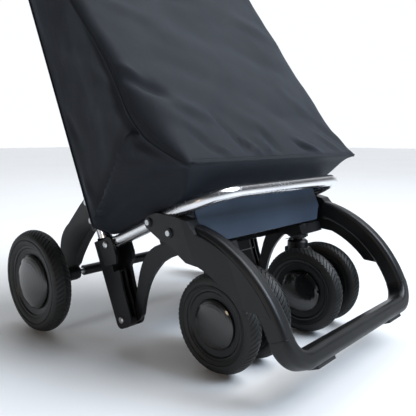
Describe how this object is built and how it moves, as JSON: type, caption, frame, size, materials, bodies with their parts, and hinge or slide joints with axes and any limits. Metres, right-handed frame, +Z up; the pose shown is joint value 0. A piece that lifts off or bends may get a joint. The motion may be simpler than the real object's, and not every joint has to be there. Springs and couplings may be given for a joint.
{
  "type": "folding shopping trolley",
  "caption": "Folding shopping trolley with large rear wheels, twin-wheel swivel casters in front, a leaning tube frame, a front foot loop and a tall fabric bag with a lid.",
  "frame": {"origin": "floor level, at the middle of the object's footprint", "axes": "+Z up, +X to the right of someone who faces the trolley's front, front of the trolley towards -Y, handle towards +Y"},
  "size_m": [0.47, 0.7332, 0.9722],
  "materials": {
    "tube": "brushed anodised tube",
    "moulding": "satin black moulding",
    "grip": "soft foam-like sleeve",
    "panel": "satin blue-grey",
    "steel": "zinc-plated",
    "tyre": "black rubber with a chevron tread",
    "rim": "gloss black",
    "cap": "high-gloss domed cover",
    "bag_fabric": "woven polyester, dark blue-black",
    "webbing": "woven webbing",
    "pad": "ribbed rubber"
  },
  "bodies": {
    "frame": {"upright_left": "tube", "upright_right": "tube", "handle_collars": "moulding", "handle_bow": "tube", "handle_grip": "grip", "upper_brace": "tube", "brace_clips": "moulding", "bag_hooks": "moulding", "strut_left": "moulding", "strut_right": "moulding", "pivot_bolts": "steel", "leg_left": "moulding", "leg_right": "moulding", "leg_screws": "steel", "rear_axle": "steel", "axle_sleeve": "moulding", "axle_collars": "moulding", "bag": "bag_fabric"},
    "lid": {"bag_lid": "bag_fabric", "lid_tab": "webbing"},
    "platform": {"platform_tube": "tube", "tube_plugs": "moulding", "front_loop": "moulding", "front_panel": "panel", "panel_screws": "steel", "plate_rivets": "steel", "latch_pins": "steel", "foot_pads": "pad"},
    "carrier": {"caster_carrier": "moulding", "stem_bushes": "moulding"},
    "caster_left": {"caster_fork_left": "moulding", "caster_axle_left": "steel"},
    "caster_right": {"caster_fork_right": "moulding", "caster_axle_right": "steel"},
    "rear_wheel_left": {"rear_tyre_left": "tyre", "rear_rim_left": "rim", "rear_cap_left": "cap"},
    "rear_wheel_right": {"rear_tyre_right": "tyre", "rear_rim_right": "rim", "rear_cap_right": "cap"},
    "caster_wheel_1": {"caster_tyre_1": "tyre", "caster_rim_1": "rim", "caster_cap_1": "cap"},
    "caster_wheel_2": {"caster_tyre_2": "tyre", "caster_rim_2": "rim", "caster_cap_2": "cap"},
    "caster_wheel_3": {"caster_tyre_3": "tyre", "caster_rim_3": "rim", "caster_cap_3": "cap"},
    "caster_wheel_4": {"caster_tyre_4": "tyre", "caster_rim_4": "rim", "caster_cap_4": "cap"}
  },
  "joints": [
    {"name": "lid_hinge", "type": "hinge", "parent": "frame", "child": "lid", "pos_m": [0, 0.16534, 0.59472], "axis": [-1, 0, 0], "range_deg": [0, 85]},
    {"name": "platform_fold", "type": "hinge", "parent": "frame", "child": "platform", "pos_m": [0, -0.03841, 0.15432], "axis": [-1, 0, 0], "range_deg": [0, 65], "deforming": ["bag"]},
    {"name": "carrier_fold", "type": "hinge", "parent": "frame", "child": "carrier", "pos_m": [0, -0.0593, 0.04102], "axis": [-1, 0, 0], "range_deg": [0, 22.75]},
    {"name": "caster_swivel_left", "type": "hinge", "parent": "carrier", "child": "caster_left", "pos_m": [-0.1005, -0.1927, 0.15], "axis": [0, 0, 1], "continuous": true},
    {"name": "caster_swivel_right", "type": "hinge", "parent": "carrier", "child": "caster_right", "pos_m": [0.1005, -0.1927, 0.15], "axis": [0, 0, 1], "continuous": true},
    {"name": "rear_spin_left", "type": "hinge", "parent": "frame", "child": "rear_wheel_left", "pos_m": [-0.217, 0.0943, 0.0825], "axis": [1, 0, 0], "continuous": true},
    {"name": "rear_spin_right", "type": "hinge", "parent": "frame", "child": "rear_wheel_right", "pos_m": [0.217, 0.0943, 0.0825], "axis": [1, 0, 0], "continuous": true},
    {"name": "caster_spin_1", "type": "hinge", "parent": "caster_left", "child": "caster_wheel_1", "pos_m": [-0.1005, -0.2207, 0.068], "axis": [1, 0, 0], "continuous": true},
    {"name": "caster_spin_2", "type": "hinge", "parent": "caster_left", "child": "caster_wheel_2", "pos_m": [-0.1005, -0.2207, 0.068], "axis": [1, 0, 0], "continuous": true},
    {"name": "caster_spin_3", "type": "hinge", "parent": "caster_right", "child": "caster_wheel_3", "pos_m": [0.10245, -0.22063, 0.068], "axis": [0.9976, 0.0698, 0], "continuous": true},
    {"name": "caster_spin_4", "type": "hinge", "parent": "caster_right", "child": "caster_wheel_4", "pos_m": [0.10245, -0.22063, 0.068], "axis": [0.9976, 0.0698, 0], "continuous": true}
  ],
  "couplings": [
    {"joint": "carrier_fold", "follows": "platform_fold", "ratio": 0.35}
  ]
}
